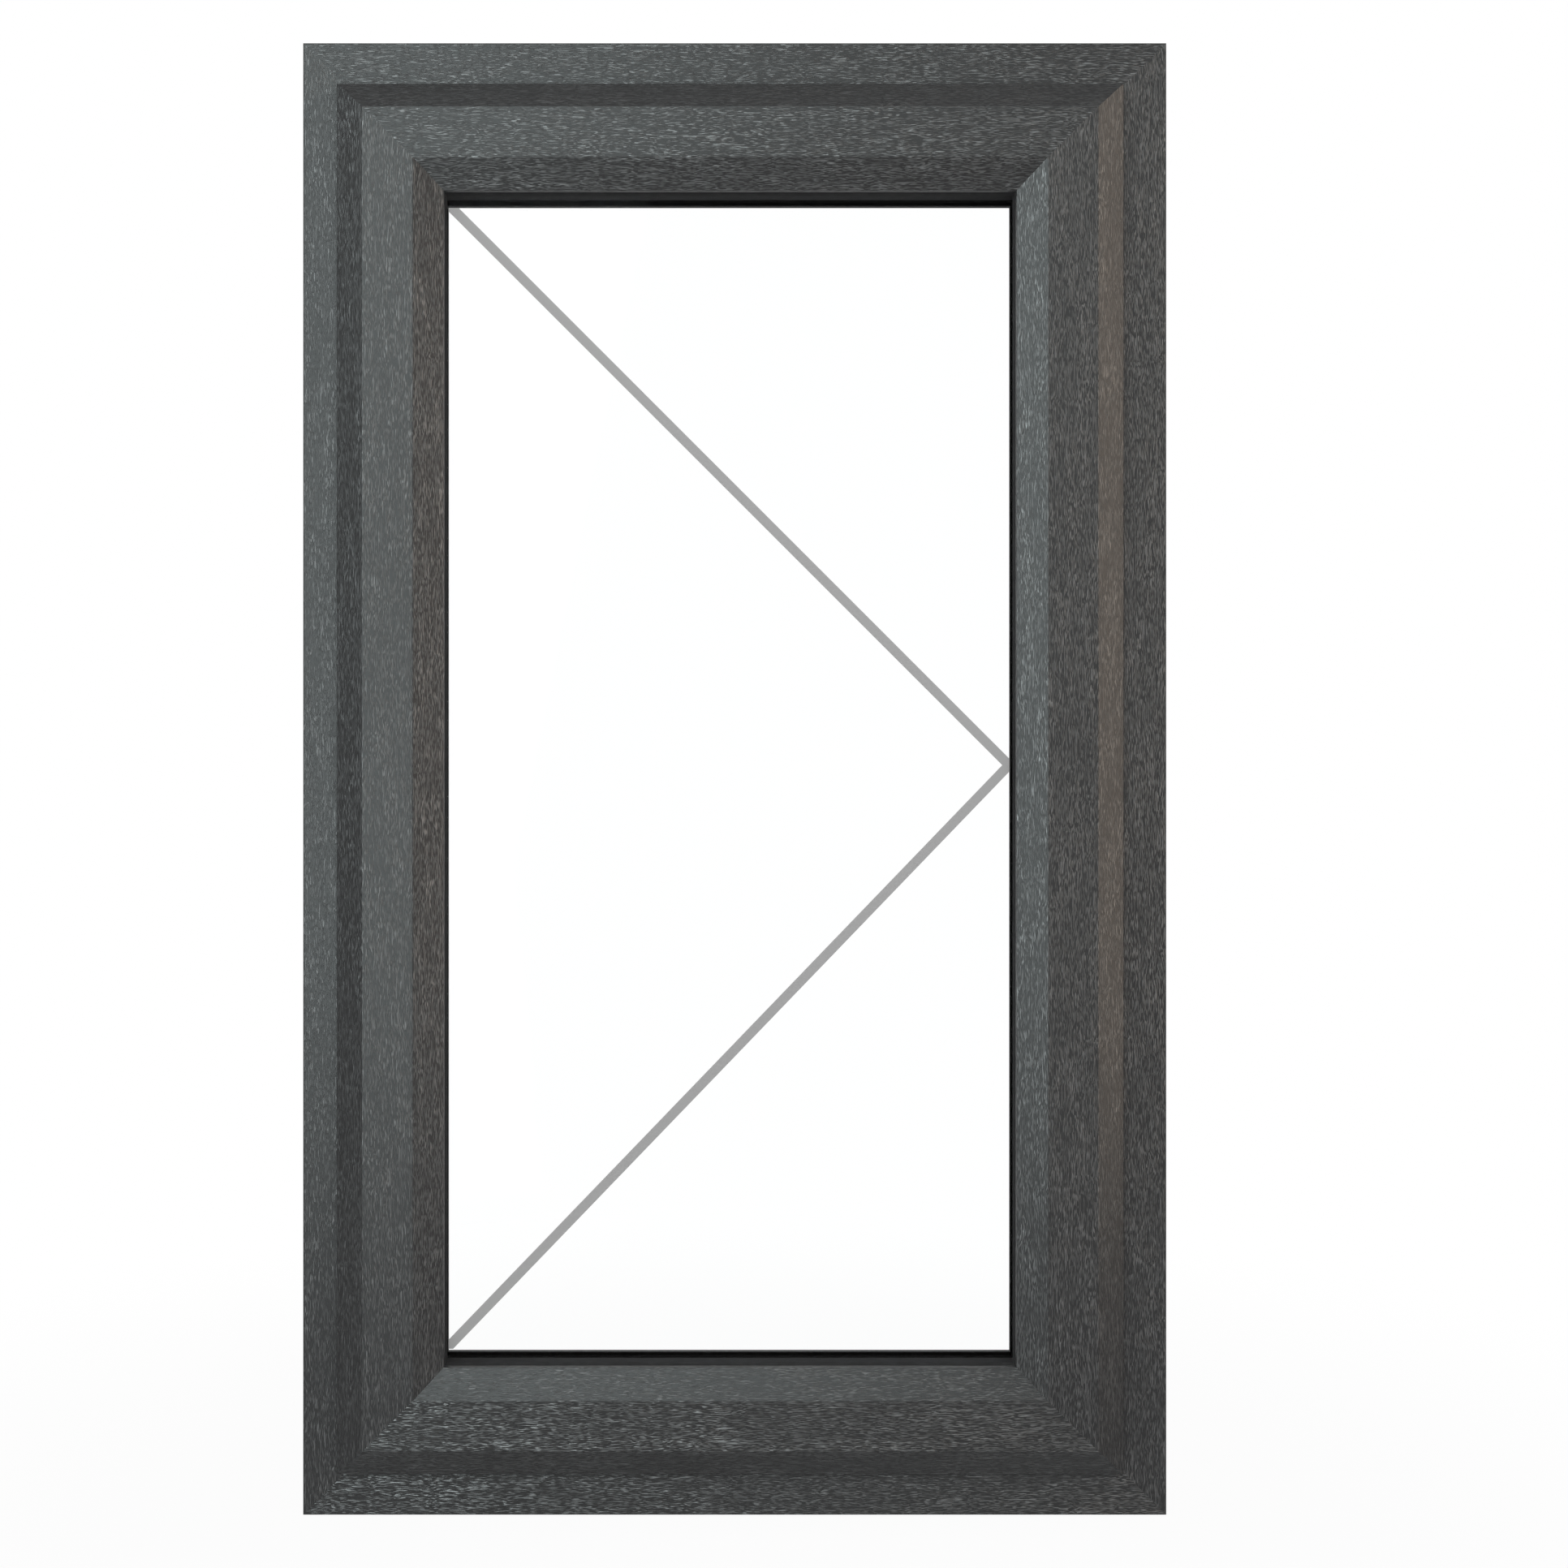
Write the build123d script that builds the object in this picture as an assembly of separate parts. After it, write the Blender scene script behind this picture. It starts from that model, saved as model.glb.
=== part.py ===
from build123d import *
import os

# Side-hung casement window in chambered plastic profile, with a double-glazed unit.
# X runs to the right as seen from outside, Y runs into the room and Z runs up.
# The origin is on the underside of the outer frame, halfway through its depth.
# All sizes are in millimetres. A section is drawn as (depth, distance in from the outer edge).

# outer frame
frame_width = 610
frame_height = 1040
frame_depth = 70
mid_height = frame_height / 2
front = -frame_depth / 2
back = frame_depth / 2
rebate_floor = 38
upstand_tip = 58
upstand_face = 22
arris = 0.6
land_groove_width = 6
land_groove_depth = 3.5
land_groove_at = 19
front_web = -26.6
middle_web = 13.6

# opening sash, hung a little towards the lock side
sash_width = 554
sash_height = 979.1
sash_shift = -3.3
sash_back = 18
sash_body_in = 20
flange_rear = -38
flange_lip = -40.5
nose_rear = -36
sash_face = -53
face_end = 55.2
bevel_depth = -41
sightline = 75.5
glazing_floor = 59
hardware_groove_front = -4
hardware_groove_rear = 12
hardware_groove_floor = 29

# grooves that take the gasket foot and the bead foot
foot_depth = 1.6
foot_start = 66
foot_end = 69
bead_foot_front = 6
bead_foot_rear = 9.5
bead_foot_tip = 53

# glazing bead
bead_front = -1
bead_tip = 72.2
bead_wall = 2.4

# double-glazed unit
glass_edge = 63
glass_thickness = 4
outer_glass = -33
inner_glass = -5
spacer_base = 68.5
spacer_tip = 73.5

# walls of the chambers
wall = 2.8
web = 2

# handle on the lock side, seen from the room
handle_x = sash_shift - sash_width / 2 + 46.3
handle_mid = mid_height
base_width = 24
base_height = 146
base_thickness = 11
hub_height = 20
hub_radius = 8.5
lever_length = 112
lever_radius = 9.5
lever_tip_radius = 7.5
lock_height = 46
lock_radius = 5.5
screw_height = 61

# friction stays on the hinge side, folded into the gap above and below the sash
gap_top = mid_height - sash_height / 2 + sash_body_in
stay_depth = -20
stay_width = 18
stay_strip = 2.5
stay_end = 252
track_length = 300

# opening mark on the outside of the glass
mark_width = 6.8
mark_thickness = 0.3
mark_apex_x = 189.3
mark_apex_z = 529.8
mark_left = -202.3
mark_right = 194.3
mark_bottom = 116.9
mark_top = 923.7
mark_upper_start = 921.4
mark_lower_start = 123.4


def slab(depth_a, depth_b, in_a, in_b):
    """A rectangle of a section between two depths and two distances in."""
    return Pos((depth_a + depth_b) / 2, (in_a + in_b) / 2) * Rectangle(depth_b - depth_a, in_b - in_a)


def round_corners(section, spots, radius):
    """The section with the corners at these spots rounded."""
    corners = [section.vertices().sort_by_distance(Vector(*spot))[0] for spot in spots]
    return fillet(corners, radius)


def mitred_bar(section, length):
    """A bar of this section along X, outer edge down, cut at 45 degrees at both ends."""
    half = length / 2
    reach = 100
    bar = extrude(Plane.YZ * section, amount=half, both=True)
    outline = Polygon((-half, 0), (half, 0), (half - reach, reach), (reach - half, reach))
    return bar & extrude(Plane.XZ * outline, amount=frame_depth, both=True)


def four_sides(section, width, height, centre_x):
    """Four mitred bars that close a rectangle: bottom, top, left and right."""
    across = mitred_bar(section, width)
    upright = mitred_bar(section, height)
    bottom = Pos(centre_x, 0, mid_height - height / 2) * across
    top = Pos(centre_x, 0, mid_height + height / 2) * Rot(0, 180, 0) * across
    left = Pos(centre_x - width / 2, 0, mid_height) * Rot(0, 90, 0) * upright
    right = Pos(centre_x + width / 2, 0, mid_height) * Rot(0, -90, 0) * upright
    return bottom, top, left, right


def ring(section):
    """One closed ring of this section, measured in from the sash's outer edge."""
    bottom, top, left, right = four_sides(section, sash_width, sash_height, sash_shift)
    return bottom + left + top + right


# profiles of the outer frame: low outside wall, rebate, tall room-side upstand
def frame_section():
    """Chambered frame section with two grooves in its outer edge."""
    outline = Polygon(
        (front, 0), (back, 0), (back, upstand_tip), (upstand_face, upstand_tip),
        (upstand_face, rebate_floor), (front, rebate_floor),
    )
    outline = round_corners(outline, [(front, 0), (back, 0)], arris)
    outline = round_corners(outline, [(front, rebate_floor)], 2 * arris)
    outline = round_corners(outline, [(back, upstand_tip), (upstand_face, upstand_tip)], 2)
    inner = rebate_floor - wall
    groove_roof = land_groove_depth + wall
    outline -= slab(front + wall, front_web, wall, inner)
    outline -= slab(front_web + web, -middle_web, groove_roof, inner)
    outline -= slab(web - middle_web, middle_web - web, wall, inner)
    outline -= slab(middle_web, upstand_face, groove_roof, inner)
    outline -= slab(upstand_face + wall, back - wall, wall, upstand_tip - wall)
    for side in (-1, 1):
        centre = side * land_groove_at
        half = land_groove_width / 2
        outline -= slab(centre - half, centre + half, 0, land_groove_depth)
    return outline


# profiles of the sash: chamfered flange outside, glazing nose, bead rebate, hardware groove
def sash_outline():
    """Outside shape of the sash section, its flange standing proud of the frame."""
    outline = Polygon(
        (flange_rear, sash_body_in), (sash_back, sash_body_in), (sash_back, glazing_floor),
        (nose_rear, glazing_floor), (nose_rear, sightline), (bevel_depth, sightline),
        (sash_face, face_end), (sash_face, sash_body_in), (flange_lip, 0), (flange_rear, 0),
    )
    outline = round_corners(outline, [(sash_face, face_end), (sash_face, sash_body_in)], 1.6)
    outline = round_corners(outline, [(bevel_depth, sightline), (flange_lip, 0)], 0.9)
    return round_corners(outline, [(sash_back, sash_body_in), (sash_back, glazing_floor)], 0.8)


def flange_chambers():
    """Chambers behind the outer chamfer, the flat face and the inner bevel."""
    rear = flange_rear - wall
    chamfer_start = 5.3
    split = 37
    bevel_start = face_end + 0.6
    space = Polygon((rear, chamfer_start), (rear, sash_body_in), (sash_face + wall + 0.2, sash_body_in))
    space += slab(sash_face + wall, rear, sash_body_in + wall, split)
    space += slab(sash_face + wall, rear, split + web, face_end - web)
    space += Polygon((sash_face + wall + 1, bevel_start), (rear, bevel_start), (rear, 70.8))
    return space


def body_chambers():
    """Chambers of the body of the sash, round the hardware groove and the bead groove."""
    near = sash_body_in + wall
    far = glazing_floor - wall
    middle_end = -14.5
    narrow_end = -6.4
    rear = slab(hardware_groove_front - 0.4, sash_back - wall, hardware_groove_floor + wall, far)
    groove_wall = bead_foot_tip - wall - 0.6
    foot_room = slab(bead_foot_front - web, bead_foot_rear + web, groove_wall, glazing_floor)
    space = slab(flange_rear, middle_end, near, far)
    space += slab(middle_end + web, narrow_end, near, far)
    return space + (rear - foot_room)


def sash_section():
    """Chambered sash section with its grooves for hardware, bead and gasket."""
    outline = sash_outline() - flange_chambers() - body_chambers()
    outline -= slab(hardware_groove_front, hardware_groove_rear, sash_body_in, hardware_groove_floor)
    outline -= slab(bead_foot_front, bead_foot_rear, bead_foot_tip - 1, glazing_floor)
    return outline - slab(nose_rear - foot_depth, nose_rear, foot_start, foot_end)


# the bead snaps into its groove and presses its gasket on the inner pane
def bead_section():
    """Hollow glazing bead with a rounded room-side edge."""
    outline = Polygon(
        (bead_front, glazing_floor), (bead_foot_front, glazing_floor), (bead_foot_front, bead_foot_tip),
        (bead_foot_rear, bead_foot_tip), (bead_foot_rear, glazing_floor), (sash_back, glazing_floor),
        (sash_back, bead_tip), (bead_front, bead_tip),
    )
    outline = round_corners(outline, [(sash_back, bead_tip)], 1)
    near = glazing_floor + bead_wall
    far = bead_tip - bead_wall
    return outline - slab(bead_front + bead_wall, sash_back - bead_wall, near, far)


def outer_gasket_section():
    """Soft gasket between the sash's nose and the outer pane, its foot in a groove."""
    lip = sightline + 1.6
    body = Polygon(
        (nose_rear, glass_edge + 1), (outer_glass, glass_edge + 1), (outer_glass, lip),
        (nose_rear + 0.8, lip - 0.7), (nose_rear, sightline),
    )
    return body + slab(nose_rear - foot_depth, nose_rear, foot_start, foot_end)


def bead_gasket_section():
    """Wedge gasket between the inner pane and the bead."""
    return Polygon(
        (inner_glass, glass_edge + 2.5), (bead_front, glass_edge + 2.5), (bead_front, bead_tip),
        (bead_front - 1.6, bead_tip + 1), (inner_glass, bead_tip + 1.6),
    )


def bubble_section(depth_a, depth_b, in_a, in_b):
    """Hollow weather seal, squeezed to fill the gap between two faces."""
    outline = slab(depth_a, depth_b, in_a, in_b)
    outline = fillet(outline.vertices(), 1)
    return outline - slab(depth_a + 1, depth_b - 1, in_a + 1, in_b - 1)


# the glass
def pane(depth):
    """One sheet of glass whose outside face is at this depth."""
    width = sash_width - 2 * glass_edge
    height = sash_height - 2 * glass_edge
    return Pos(sash_shift, depth + glass_thickness / 2, mid_height) * Box(width, glass_thickness, height)


def setting_blocks():
    """Hard plastic packers that centre the glass unit in the sash."""
    middle = (outer_glass + inner_glass) / 2
    depth = inner_glass - outer_glass
    gap = glass_edge - glazing_floor
    middle_in = (glass_edge + glazing_floor) / 2
    flat = Box(100, depth, gap)
    tall = Box(gap, depth, 100)
    blocks = []
    for side in (-1, 1):
        for offset in (-130, 130):
            height = mid_height + side * (sash_height / 2 - middle_in)
            blocks.append(Pos(sash_shift + offset, middle, height) * flat)
        for offset in (-340, 340):
            along = sash_shift + side * (sash_width / 2 - middle_in)
            blocks.append(Pos(along, middle, mid_height + offset) * tall)
    return Compound(children=blocks)


# the handle on the lock-side stile
def handle_base():
    """Long rounded back plate, screwed to the sash."""
    outline = RectangleRounded(base_width, base_height, base_width / 2 - 0.5)
    plate = extrude(Plane.XZ.offset(-sash_back) * outline, amount=-base_thickness)
    rim = plate.faces().sort_by(Axis.Y)[-1].edges()
    return Pos(handle_x, 0, handle_mid) * fillet(rim, 3)


def stud(radius, depth_a, depth_b, height):
    """A round stud on the handle's centre line, between two depths."""
    middle = (depth_a + depth_b) / 2
    return Pos(handle_x, middle, handle_mid + height) * Rot(90, 0, 0) * Cylinder(radius, depth_b - depth_a)


def handle_lever():
    """Round hub and a hanging, tapering grip that leans away from the plate."""
    start = sash_back + base_thickness
    grip_back = start + 10
    grip_front = start + 20
    side = Polygon(
        (grip_back, lever_radius), (grip_front, lever_radius), (grip_front + 1, -30),
        (grip_front + 6, -lever_length), (grip_back + 7, -lever_length), (grip_back + 1, -30),
    )
    side = round_corners(side, [(grip_front + 1, -30), (grip_back + 1, -30)], 60)
    profile = extrude(Plane.YZ * side, amount=lever_radius, both=True)
    tip = Pos(0, lever_tip_radius - lever_length) * Circle(lever_tip_radius - 0.1)
    front_view = make_hull((Circle(lever_radius - 0.1) + tip).edges())
    grip = profile & extrude(Plane.XZ.offset(-start) * front_view, amount=-40)
    grip = fillet(grip.faces().sort_by(Axis.Y)[-1].edges(), 2.5)
    grip = Pos(handle_x, 0, handle_mid + hub_height) * grip
    return grip + stud(hub_radius, start, grip_back + 2, hub_height)


def lock_cylinder():
    """Key cylinder in the upper part of the back plate, with its key slot."""
    start = sash_back + base_thickness
    barrel = stud(lock_radius, start, start + 2.5, lock_height)
    slot = Pos(handle_x, start + 2.5, handle_mid + lock_height) * Box(1.4, 3, 6)
    return barrel - slot


def screw_caps():
    """Two round caps over the screws of the back plate."""
    start = sash_back + base_thickness
    caps = [stud(3.2, start, start + 0.8, height) for height in (screw_height, -screw_height)]
    return Compound(children=caps)


# the friction stays lie folded between frame and sash
def stay_plate(length, level, end):
    """One flat steel strip of a stay, its hinge-side end at this X."""
    return Pos(end - length / 2, stay_depth, level + stay_strip / 2) * Box(length, stay_width, stay_strip)


def friction_stay():
    """Track on the frame, two folded arms and the plate on the sash, joined by rivets."""
    track = stay_plate(track_length, rebate_floor, stay_end)
    short_arm = stay_plate(86, rebate_floor + stay_strip, stay_end)
    long_arm = stay_plate(150, rebate_floor + stay_strip, stay_end - 110)
    top_level = gap_top - stay_strip
    plate = stay_plate(255, top_level, stay_end)
    stay = track + short_arm + long_arm + plate
    rivet_height = gap_top - rebate_floor
    for x in (stay_end - 10, stay_end - 76, stay_end - 120, stay_end - 240):
        stay += Pos(x, stay_depth, rebate_floor + rivet_height / 2) * Cylinder(5, rivet_height)
    return stay


def opening_mark():
    """Two thin strips that meet at the hinge side, the mark for a side-hung sash."""
    apex = Vector(mark_apex_x, mark_apex_z)
    film = Part()
    for start_z, side in ((mark_upper_start, 1), (mark_lower_start, -1)):
        along = (apex - Vector(mark_left, start_z)).normalized()
        angle = Vector(1, 0).get_signed_angle(along, Vector(0, 0, 1))
        strip = Pos(mark_apex_x, 0, mark_apex_z) * Rot(0, -angle, 0) * Pos(-240, 0, side * mark_width / 2)
        film += strip * Box(720, mark_thickness, mark_width)
    width = mark_right - mark_left
    height = mark_top - mark_bottom
    window = Pos((mark_left + mark_right) / 2, 0, (mark_bottom + mark_top) / 2) * Box(width, 1, height)
    return Pos(0, outer_glass - mark_thickness / 2, 0) * (film & window)


def save(shape, name):
    """Writes one named piece of the window."""
    export_step(shape, "parts/" + name + ".step")


os.makedirs("parts", exist_ok=True)

names = ("frame_sill", "frame_head", "frame_left_jamb", "frame_right_jamb")
for piece, name in zip(four_sides(frame_section(), frame_width, frame_height, 0), names):
    save(piece, name)

names = ("sash_bottom_rail", "sash_top_rail", "sash_left_stile", "sash_right_stile")
for piece, name in zip(four_sides(sash_section(), sash_width, sash_height, sash_shift), names):
    save(piece, name)

names = ("glazing_bead_bottom", "glazing_bead_top", "glazing_bead_left", "glazing_bead_right")
for piece, name in zip(four_sides(bead_section(), sash_width, sash_height, sash_shift), names):
    save(piece, name)

save(ring(outer_gasket_section()), "glazing_gasket_outer")
save(ring(bead_gasket_section()), "glazing_gasket_inner")
save(ring(bubble_section(flange_rear, front, 1.6, 5.6)), "weather_seal_outer")
seal_start = sash_body_in + 1
save(ring(bubble_section(sash_back, upstand_face, seal_start, seal_start + 5)), "weather_seal_inner")
save(pane(outer_glass), "glass_outer_pane")
save(pane(inner_glass - glass_thickness), "glass_inner_pane")
cavity_front = outer_glass + glass_thickness
cavity_back = inner_glass - glass_thickness
save(ring(slab(cavity_front, cavity_back, spacer_base, spacer_tip)), "glass_spacer_bar")
save(ring(slab(cavity_front, cavity_back, glass_edge, spacer_base)), "glass_edge_seal")
save(setting_blocks(), "setting_blocks")
save(handle_base(), "handle_base")
save(handle_lever(), "handle_lever")
save(lock_cylinder(), "handle_lock_cylinder")
save(screw_caps(), "handle_screw_caps")
stay = friction_stay()
save(stay, "friction_stay_bottom")
save(Pos(0, 0, frame_height) * stay.mirror(Plane.XY), "friction_stay_top")
save(opening_mark(), "opening_mark_film")
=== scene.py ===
import math
import bpy
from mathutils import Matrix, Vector

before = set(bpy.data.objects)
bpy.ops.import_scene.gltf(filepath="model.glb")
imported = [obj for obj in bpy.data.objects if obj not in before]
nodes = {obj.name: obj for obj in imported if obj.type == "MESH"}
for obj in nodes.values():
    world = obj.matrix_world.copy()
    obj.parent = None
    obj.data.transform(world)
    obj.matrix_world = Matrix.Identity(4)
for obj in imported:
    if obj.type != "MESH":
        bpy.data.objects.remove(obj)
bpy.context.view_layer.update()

# Outer frame and sash. The real profiles are extruded white or grey plastic wrapped in an
# anthracite foil, hot-pressed with a wood grain that runs along each member, then cut and
# welded at 45 degree mitres. The grain is fine pores and ticks about a millimetre wide. On the
# sash's outer chamfer the ticks are painted darker and the gloss is lower, as painted shade on
# that sloping face.
FOIL = (0.0170, 0.0170, 0.0175, 1)
FOIL_PATCH = (0.0220, 0.0225, 0.0230, 1)
FOIL_TICK = (0.114, 0.115, 0.116, 1)
# Painted shade on the sash's outer chamfer: darker ticks and lower gloss.
CHAMFER_SHADE_TICK = (0.084, 0.085, 0.086, 1)
FOIL_GLOSS = 0.25
CHAMFER_SHADE_GLOSS = 0.18
# Painted shade: near-black tones for a thin band along the outer frame's outside edges.
EDGE_SHADE_DARK = (0.004, 0.004, 0.004, 1)
EDGE_SHADE_PALE = (0.012, 0.012, 0.012, 1)
HALF_WIDTH = 0.305
HALF_HEIGHT = 0.52
EDGE_SHADE_WIDTH = 0.0007
ACROSS_LEAN = (0, 0, 0.28)
UPRIGHT_LEAN = (0.11, 0, 0)
LINE_SCALE = (42, 3500, 3500)
DASH_SCALE = (200, 3100, 3100)
PATCH_SCALE = (22, 120, 120)
BROAD_SCALE = (3.0, 14, 14)
GRAIN_DRIFT = (0.0, 0.0030, 0.0030)
TICK_DEPTH = 0.00016
TICK_METAL = 0.55


class Value:
    """A shader socket that takes part in plain arithmetic."""

    def __init__(self, nodes, socket=None):
        self.nodes = nodes
        self.socket = socket

    def node(self, kind, settings, inputs, output=0):
        """Adds any node, with its settings and its socket values or links."""
        made = self.nodes.new(kind)
        for name, setting in settings.items():
            setattr(made, name, setting)
        for name, given in inputs.items():
            if isinstance(given, Value):
                self.nodes.id_data.links.new(given.socket, made.inputs[name])
            else:
                made.inputs[name].default_value = given
        return Value(self.nodes, made.outputs[output])

    def maths(self, operation, first, second):
        return self.node("ShaderNodeMath", {"operation": operation}, {0: first, 1: second})

    def __add__(self, other):
        return self.maths("ADD", self, other)

    def __radd__(self, other):
        return self.maths("ADD", other, self)

    def __sub__(self, other):
        return self.maths("SUBTRACT", self, other)

    def __rsub__(self, other):
        return self.maths("SUBTRACT", other, self)

    def __mul__(self, other):
        return self.maths("MULTIPLY", self, other)

    def __rmul__(self, other):
        return self.maths("MULTIPLY", other, self)

    def __truediv__(self, other):
        return self.maths("DIVIDE", self, other)

    def __rtruediv__(self, other):
        return self.maths("DIVIDE", other, self)

    def ramp(self, low, high):
        """0 below low, 1 above high, smooth between."""
        settings = {"interpolation_type": "SMOOTHSTEP"}
        return self.node("ShaderNodeMapRange", settings, {0: self, 1: low, 2: high})

    def mix(self, colour, other):
        """From one colour to the other as this value goes from 0 to 1."""
        return self.node("ShaderNodeMix", {"data_type": "RGBA"}, {0: self, 6: colour, 7: other}, 2)

    def moved(self, operation, other):
        """Vector arithmetic between two vectors."""
        return self.node("ShaderNodeVectorMath", {"operation": operation}, {0: self, 1: other})

    def noise(self, scale, detail=2.0, roughness=0.5):
        """Noise between 0 and 1 at this vector."""
        inputs = {"Vector": self, "Scale": scale, "Detail": detail, "Roughness": roughness}
        return self.node("ShaderNodeTexNoise", {}, inputs)


def material(name):
    """A new material: its graph, its object coordinates and its surface shader's inputs."""
    made = bpy.data.materials.new(name)
    made.use_nodes = True
    shader = made.node_tree.nodes["Principled BSDF"].inputs
    graph = Value(made.node_tree.nodes)
    place = graph.node("ShaderNodeTexCoord", {}, {}, "Object")
    return made, graph, place, shader


def feed(shader, name, value):
    """Links a value to one input of the surface shader."""
    value.nodes.id_data.links.new(value.socket, shader[name])


def paint(obj, made):
    """Gives the whole object this one material."""
    obj.data.materials.clear()
    obj.data.materials.append(made)


def foil(name, turn, lean, tick=FOIL_TICK, gloss=FOIL_GLOSS):
    """Anthracite foil whose grain runs along X, or along Z when turned.

    The embossed ticks are slanted: their floors lean in one direction.
    """
    made, graph, place, shader = material(name)
    turned = graph.node("ShaderNodeMapping", {}, {"Vector": place, "Rotation": (0, turn, 0)})
    wander = {"Vector": turned, "Scale": 38.0, "Detail": 1.0}
    drift = graph.node("ShaderNodeTexNoise", {}, wander, "Color")
    drift = drift.moved("SUBTRACT", (0.5, 0.5, 0.5)).moved("MULTIPLY", GRAIN_DRIFT)
    bent = turned.moved("ADD", drift)
    line = bent.moved("MULTIPLY", LINE_SCALE).noise(1.0, 0.0)
    dash = bent.moved("MULTIPLY", DASH_SCALE).noise(1.0, 0.0)
    patch = turned.moved("MULTIPLY", PATCH_SCALE).noise(1.0, 2.0).ramp(0.36, 0.66)
    streak = (0.40 * line + 0.60 * dash).ramp(0.51, 0.60) * (0.65 + 0.35 * patch)
    broad = turned.moved("MULTIPLY", BROAD_SCALE).noise(1.0, 3.0)
    colour = broad.ramp(0.3, 0.7).mix(FOIL, FOIL_PATCH)
    colour = streak.mix(colour, tick)
    rough = 0.34 + 0.04 * streak
    feed(shader, "Roughness", rough)
    feed(shader, "Metallic", TICK_METAL * streak)
    bump = graph.node("ShaderNodeBump", {}, {"Strength": 1.0, "Distance": TICK_DEPTH, "Height": streak})
    slant = graph.node("ShaderNodeVectorMath", {"operation": "SCALE"}, {0: lean, "Scale": streak})
    feed(shader, "Normal", bump.moved("ADD", slant).moved("NORMALIZE", (0, 0, 0)))
    feed(shader, "Base Color", colour)
    shader["Specular IOR Level"].default_value = gloss
    return made, place, shader, colour, rough


def edge_shaded_foil(name, turn, lean):
    """The same foil on the outer frame, whose outermost edges are painted a near-black, matt tone as
    painted shade along the rim.
    """
    made, place, shader, colour, rough = foil(name, turn, lean)
    x = place.node("ShaderNodeSeparateXYZ", {}, {0: place}, "X")
    z = place.node("ShaderNodeSeparateXYZ", {}, {0: place}, "Z")
    beyond_side = x.maths("ABSOLUTE", x, 0.0) - (HALF_WIDTH - EDGE_SHADE_WIDTH)
    beyond_end = z.maths("ABSOLUTE", z - HALF_HEIGHT, 0.0) - (HALF_HEIGHT - EDGE_SHADE_WIDTH)
    edge = x.maths("MAXIMUM", beyond_side, beyond_end).ramp(0.0, 0.0002)
    edge_mottle = place.moved("MULTIPLY", (12, 1400, 12)).noise(1.0, 3.0)
    # Painted shade: the outermost edges turn near-black, standing in for the dark rim seen there.
    feed(shader, "Base Color", edge.mix(colour, edge_mottle.mix(EDGE_SHADE_DARK, EDGE_SHADE_PALE)))
    feed(shader, "Roughness", rough + edge * (0.40 + 0.15 * edge_mottle))
    return made


def dress_rail(name, face, chamfer, outward):
    """Foil all over, and the darker painted-shade foil on the chamfer, which slopes outward to the
    front.
    """
    rail = nodes[name]
    paint(rail, face)
    rail.data.materials.append(chamfer)
    for side in rail.data.polygons:
        if side.normal.dot(outward) > 0.3 and side.normal.y < -0.3:
            side.material_index = 1


frame_across = edge_shaded_foil("frame_across", 0, ACROSS_LEAN)
frame_upright = edge_shaded_foil("frame_upright", math.pi / 2, UPRIGHT_LEAN)
sash_across = foil("sash_across", 0, ACROSS_LEAN)[0]
sash_upright = foil("sash_upright", math.pi / 2, UPRIGHT_LEAN)[0]
# The chamfer foils carry painted shade: darker ticks and lower gloss than the faces.
chamfer_shade_across = foil("chamfer_shade_across", 0, ACROSS_LEAN, CHAMFER_SHADE_TICK, CHAMFER_SHADE_GLOSS)[0]
chamfer_shade_upright = foil("chamfer_shade_upright", math.pi / 2, UPRIGHT_LEAN, CHAMFER_SHADE_TICK, CHAMFER_SHADE_GLOSS)[0]
for name in ("frame_head", "frame_sill"):
    paint(nodes[name], frame_across)
for name in ("frame_left_jamb", "frame_right_jamb"):
    paint(nodes[name], frame_upright)
dress_rail("sash_top_rail", sash_across, chamfer_shade_across, Vector((0, 0, 1)))
dress_rail("sash_bottom_rail", sash_across, chamfer_shade_across, Vector((0, 0, -1)))
dress_rail("sash_left_stile", sash_upright, chamfer_shade_upright, Vector((-1, 0, 0)))
dress_rail("sash_right_stile", sash_upright, chamfer_shade_upright, Vector((1, 0, 0)))

# Glazing beads. They clip in from the room side. Foil covers the room face; the flank towards
# the glass, seen from outside through the pane, is painted near-black and matt as painted shade
# for the recess, with a few millimetres of grey foil tone near its room-side edge.
def flank_shade(name, turn):
    """Near-black painted shade that turns into grey foil near the room side."""
    made, graph, place, shader = material(name)
    depth = place.node("ShaderNodeSeparateXYZ", {}, {0: place}, "Y")
    streak = graph.node("ShaderNodeMapping", {}, {"Vector": place, "Rotation": (0, turn, 0)})
    streak = streak.moved("MULTIPLY", (100, 900, 900)).noise(1.0, 2.0)
    black = streak.mix((0.002, 0.002, 0.002, 1), (0.005, 0.005, 0.005, 1))
    grey = streak.mix((0.085, 0.086, 0.087, 1), (0.120, 0.121, 0.122, 1))
    feed(shader, "Base Color", depth.ramp(0.0110, 0.0115).mix(black, grey))
    feed(shader, "Roughness", 0.8 + 0.1 * streak)
    shader["Specular IOR Level"].default_value = 0.0
    return made


def dress_bead(name, face, flank, inward):
    """Foil all over, and the painted-shade material on the flat flank that faces the opening."""
    bead = nodes[name]
    paint(bead, face)
    bead.data.materials.append(flank)
    for side in bead.data.polygons:
        if side.normal.dot(inward) > 0.99:
            side.material_index = 1


# The flank materials are painted shade: near-black and without gloss where the recess lies in shadow.
flank_across = flank_shade("flank_across", 0)
flank_upright = flank_shade("flank_upright", math.pi / 2)
dress_bead("glazing_bead_top", sash_across, flank_across, Vector((0, 0, -1)))
dress_bead("glazing_bead_bottom", sash_across, flank_across, Vector((0, 0, 1)))
dress_bead("glazing_bead_left", sash_upright, flank_upright, Vector((1, 0, 0)))
dress_bead("glazing_bead_right", sash_upright, flank_upright, Vector((-1, 0, 0)))

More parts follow.
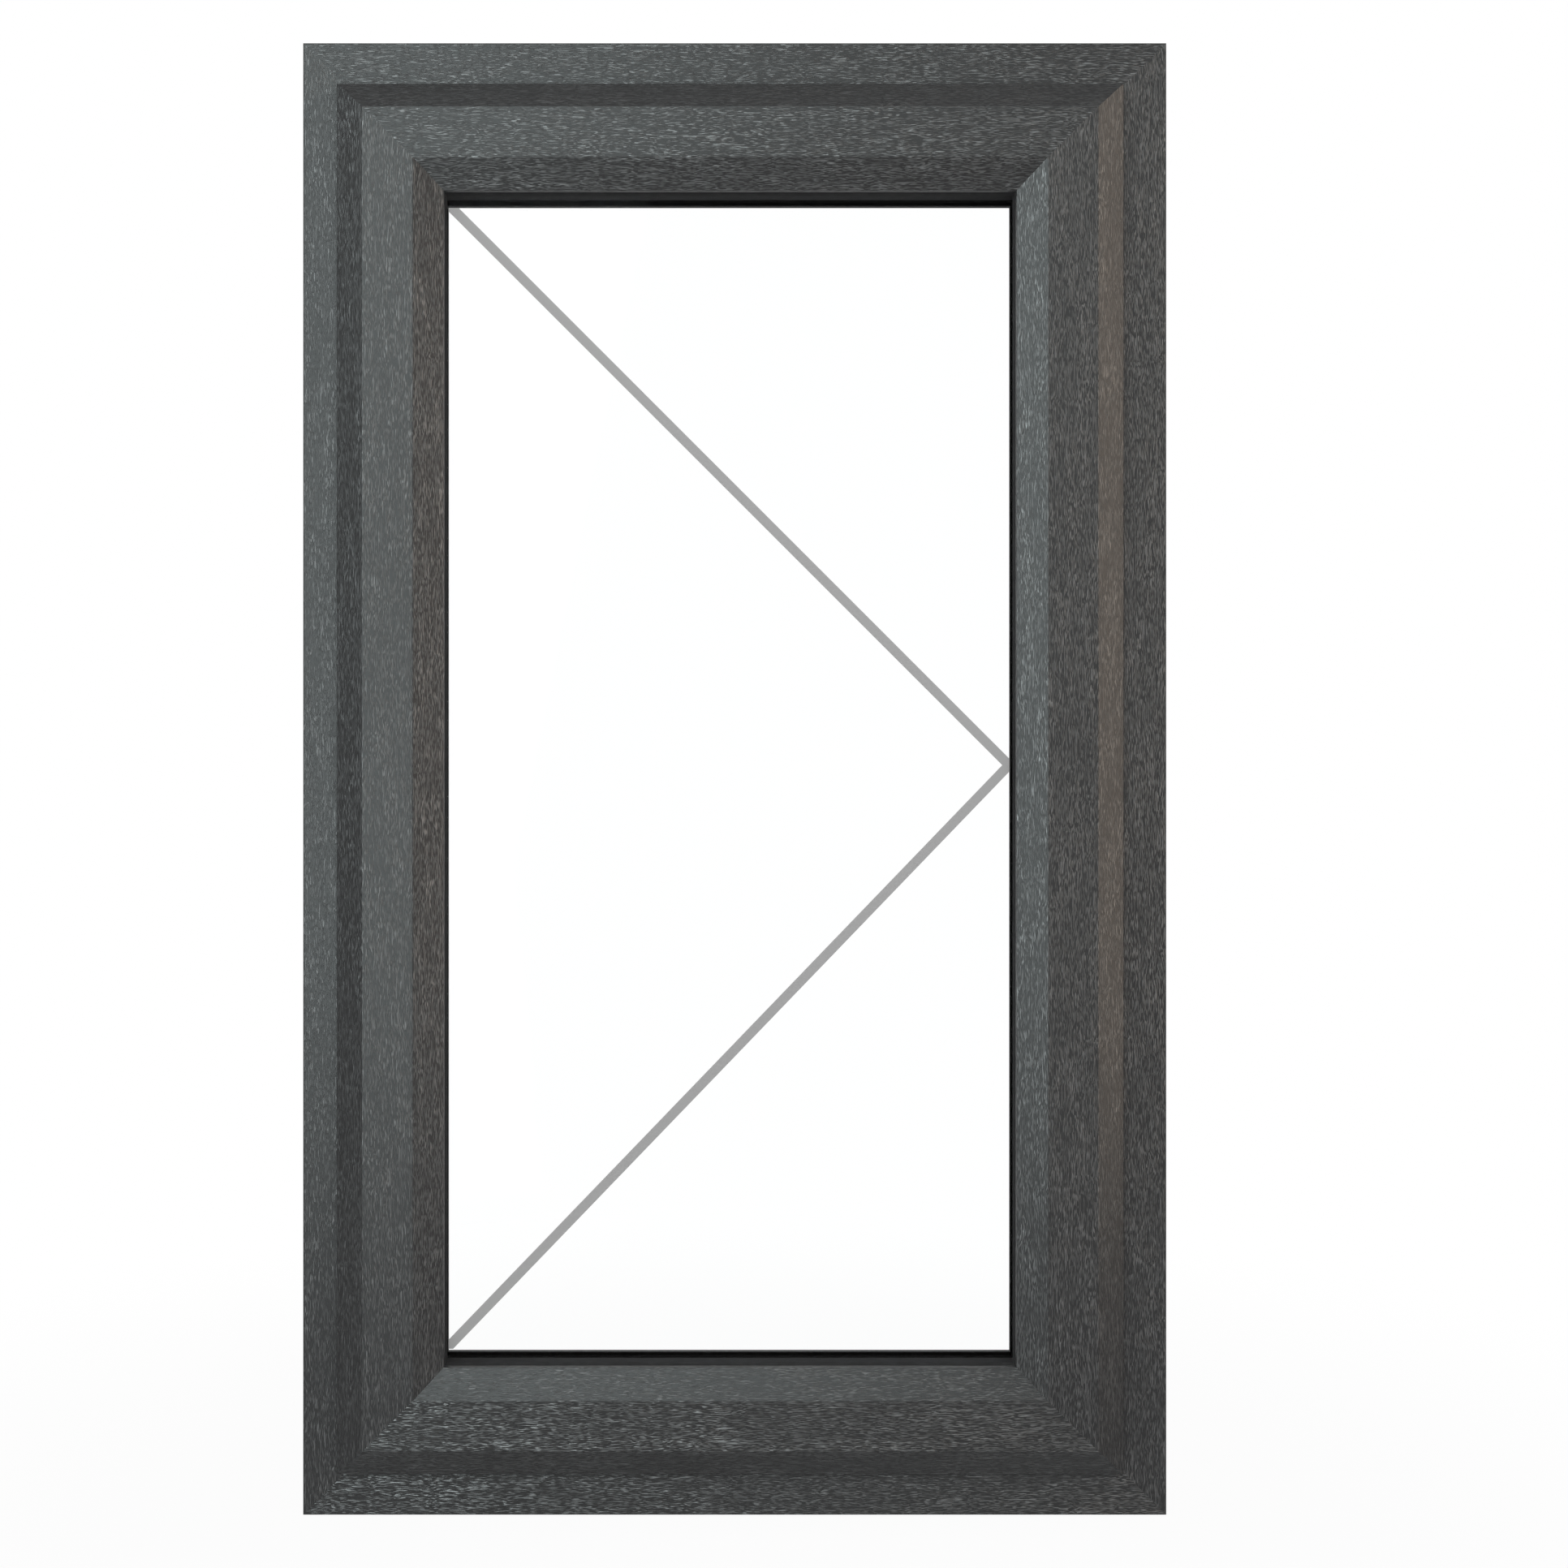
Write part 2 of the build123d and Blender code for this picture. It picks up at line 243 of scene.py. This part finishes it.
# Gaskets and weather seals. Extruded black rubber with a dull, slightly dusty skin and fine
# draw lines. They are pushed into grooves in the profiles.
def rubber(name, dark, pale):
    """Dull black rubber with faint dust."""
    made, graph, place, shader = material(name)
    dust = place.noise(140.0, 4.0, 0.6)
    speck = place.noise(1600.0, 1.0)
    feed(shader, "Base Color", (0.6 * dust.ramp(0.35, 0.75) + 0.2 * speck).mix(dark, pale))
    feed(shader, "Roughness", 0.55 + 0.25 * dust)
    bump = graph.node("ShaderNodeBump", {}, {"Strength": 0.6, "Distance": 0.00006, "Height": speck})
    feed(shader, "Normal", bump)
    shader["Specular IOR Level"].default_value = 0.02
    return made


gasket = rubber("gasket", (0.010, 0.010, 0.010, 1), (0.020, 0.020, 0.0205, 1))
# The outer glazing gasket is a paler black than the other gaskets.
paler_gasket = rubber("paler_gasket", (0.022, 0.022, 0.0225, 1), (0.038, 0.038, 0.0385, 1))
for name in ("glazing_gasket_inner", "weather_seal_outer", "weather_seal_inner"):
    paint(nodes[name], gasket)
paint(nodes["glazing_gasket_outer"], paler_gasket)

# Double-glazed unit. Two sheets of clear float glass on a black warm-edge spacer, closed with
# dark sealant and stood on hard plastic packers.
def glazing(name):
    """Clear glass, almost free of tint, with a very faint film of dust."""
    made, graph, place, shader = material(name)
    tree = made.node_tree
    tree.nodes.remove(tree.nodes["Principled BSDF"])
    film = place.noise(9.0, 5.0, 0.6).ramp(0.45, 0.9)
    clear = graph.node("ShaderNodeBsdfTransparent", {}, {"Color": (0.999, 1.0, 1.0, 1)})
    polish = {"Color": (1, 1, 1, 1), "Roughness": 0.02 + 0.05 * film}
    shine = graph.node("ShaderNodeBsdfGlossy", {}, polish)
    edge = graph.node("ShaderNodeFresnel", {}, {"IOR": 1.06})
    both = graph.node("ShaderNodeMixShader", {}, {0: edge, 1: clear, 2: shine})
    tree.links.new(both.socket, tree.nodes["Material Output"].inputs["Surface"])
    return made


glass = glazing("glass")
paint(nodes["glass_outer_pane"], glass)
paint(nodes["glass_inner_pane"], glass)
spacer = rubber("spacer", (0.018, 0.018, 0.019, 1), (0.032, 0.032, 0.033, 1))
sealant = rubber("sealant", (0.012, 0.012, 0.012, 1), (0.022, 0.022, 0.022, 1))
packers = rubber("packers", (0.02, 0.03, 0.05, 1), (0.03, 0.04, 0.07, 1))
paint(nodes["glass_spacer_bar"], spacer)
paint(nodes["glass_edge_seal"], sealant)
paint(nodes["setting_blocks"], packers)

# Opening mark. Two strips of thin grey film on the outside of the glass, meeting at the hinge
# side, with a faint satin texture.
made, graph, place, shader = material("mark_film")
speck = place.noise(700.0, 2.0)
feed(shader, "Base Color", speck.mix((0.400, 0.400, 0.400, 1), (0.425, 0.425, 0.425, 1)))
feed(shader, "Roughness", 0.75 + 0.1 * speck)
shader["Specular IOR Level"].default_value = 0.05
paint(nodes["opening_mark_film"], made)

# Handle. Cast zinc, powder coated to match the foil, with a slight orange-peel skin.
made, graph, place, shader = material("handle_coat")
peel = place.noise(420.0, 3.0, 0.5)
feed(shader, "Base Color", peel.mix((0.034, 0.036, 0.038, 1), (0.044, 0.046, 0.048, 1)))
feed(shader, "Roughness", 0.36 + 0.12 * peel)
bump = graph.node("ShaderNodeBump", {}, {"Strength": 0.5, "Distance": 0.0001, "Height": peel})
feed(shader, "Normal", bump)
for name in ("handle_base", "handle_lever", "handle_screw_caps"):
    paint(nodes[name], made)

# Fittings. The key cylinder is satin nickel. The friction stays are pressed stainless steel with
# fine brushing along the strips.
def steel(name, dark, pale, along):
    """Brushed metal, its scratches long in the direction where the scale is small."""
    made, graph, place, shader = material(name)
    brushed = place.moved("MULTIPLY", along).noise(1.0, 3.0)
    feed(shader, "Base Color", brushed.mix(dark, pale))
    feed(shader, "Roughness", 0.28 + 0.16 * brushed)
    shader["Metallic"].default_value = 1.0
    bump = graph.node("ShaderNodeBump", {}, {"Strength": 0.3, "Distance": 0.00005, "Height": brushed})
    feed(shader, "Normal", bump)
    return made


nickel = steel("nickel", (0.40, 0.39, 0.36, 1), (0.50, 0.49, 0.46, 1), (2500, 900, 900))
paint(nodes["handle_lock_cylinder"], nickel)
stainless = steel("stainless", (0.50, 0.50, 0.49, 1), (0.60, 0.60, 0.59, 1), (60, 1800, 1800))
paint(nodes["friction_stay_bottom"], stainless)
paint(nodes["friction_stay_top"], stainless)

# Stage. A plain white floor that keeps a faint shadow near the window and turns into the white
# background further out.
def shown(graph):
    """1 for rays from the camera, off gloss or through glass, and 0 for light on a surface."""
    rays = graph.node("ShaderNodeLightPath", {}, {}, "Is Camera Ray")
    for kind in ("Is Glossy Ray", "Is Transmission Ray"):
        rays = rays.maths("MAXIMUM", rays, graph.node("ShaderNodeLightPath", {}, {}, kind))
    return rays


bpy.ops.mesh.primitive_plane_add(size=40, location=(0, 0, 0))
floor = bpy.context.object
floor.name = "floor"
made, graph, place, shader = material("floor")
tree = made.node_tree
reach = place.node("ShaderNodeVectorMath", {"operation": "LENGTH"}, {0: place}, "Value")
grain = place.noise(6.0, 3.0)
shader["Specular IOR Level"].default_value = 0.0
feed(shader, "Base Color", grain.mix((0.54, 0.54, 0.54, 1), (0.56, 0.56, 0.56, 1)))
feed(shader, "Roughness", 0.9 + 0.05 * grain)
white = graph.node("ShaderNodeEmission", {}, {"Color": (1, 1, 1, 1), "Strength": 1.0})
surface = Value(tree.nodes, tree.nodes["Principled BSDF"].outputs[0])
share = shown(graph) * (0.96 + 0.04 * reach.ramp(0.35, 1.0))
both = graph.node("ShaderNodeMixShader", {}, {0: share, 1: surface, 2: white})
tree.links.new(both.socket, tree.nodes["Material Output"].inputs["Surface"])
paint(floor, made)

# World: white where it is seen, a plain even grey where it only lights.
world = bpy.data.worlds.new("studio")
bpy.context.scene.world = world
world.use_nodes = True
tree = world.node_tree
background = tree.nodes["Background"].inputs
background["Color"].default_value = (1, 1, 1, 1)
feed(background, "Strength", 0.60 + 0.40 * shown(Value(tree.nodes)))


# Soft studio lamps. Only the gloss takes the large cool one up on the left, the two small ones
# beside it and the warm one on the right; a plain front one lights the colours themselves.
def softbox(name, azimuth, elevation, distance, width, height, colour, radiance):
    """A rectangular lamp that faces the middle of the window."""
    lamp = bpy.data.lights.new(name, "AREA")
    lamp.shape = "RECTANGLE"
    lamp.size = width
    lamp.size_y = height
    lamp.color = colour
    lamp.energy = radiance * math.pi * width * height
    obj = bpy.data.objects.new(name, lamp)
    bpy.context.scene.collection.objects.link(obj)
    turn = math.radians(azimuth)
    rise = math.radians(elevation)
    obj.location = (
        distance * math.sin(turn) * math.cos(rise),
        -distance * math.cos(turn) * math.cos(rise),
        HALF_HEIGHT + distance * math.sin(rise),
    )
    obj.rotation_euler = (math.pi / 2 - rise, 0, turn)
    obj.visible_camera = False
    obj.visible_diffuse = False
    return obj


softbox("key", -33, 23, 3.0, 3.2, 3.7, (0.86, 1.0, 1.0), 4.6)
softbox("high", 3, 47, 3.0, 1.2, 0.7, (0.86, 1.0, 1.0), 4.4)
softbox("low", -28, -13, 1.1, 0.6, 0.50, (0.86, 1.0, 1.0), 2.3)
softbox("warm", 78, 9, 1.5, 1.31, 1.75, (1.0, 0.80, 0.62), 3.8)
front = softbox("front", 0, 12, 2.6, 2.0, 2.0, (1.0, 1.0, 1.0), 2.4)
front.visible_diffuse = True
front.visible_glossy = False

# Camera. It stands square on to the window, 1.5 m in front of the frame's face and a little to
# the left of its middle.
camera = bpy.data.cameras.new("camera")
camera.lens = 48.74
camera.sensor_width = 36
eye = bpy.data.objects.new("camera", camera)
bpy.context.scene.collection.objects.link(eye)
eye.location = (-0.025, -1.535, HALF_HEIGHT)
eye.rotation_euler = (math.pi / 2, 0, 0)
camera.shift_x = 0.0540
camera.shift_y = -0.0032
bpy.context.scene.camera = eye
bpy.context.scene.view_settings.view_transform = "Standard"
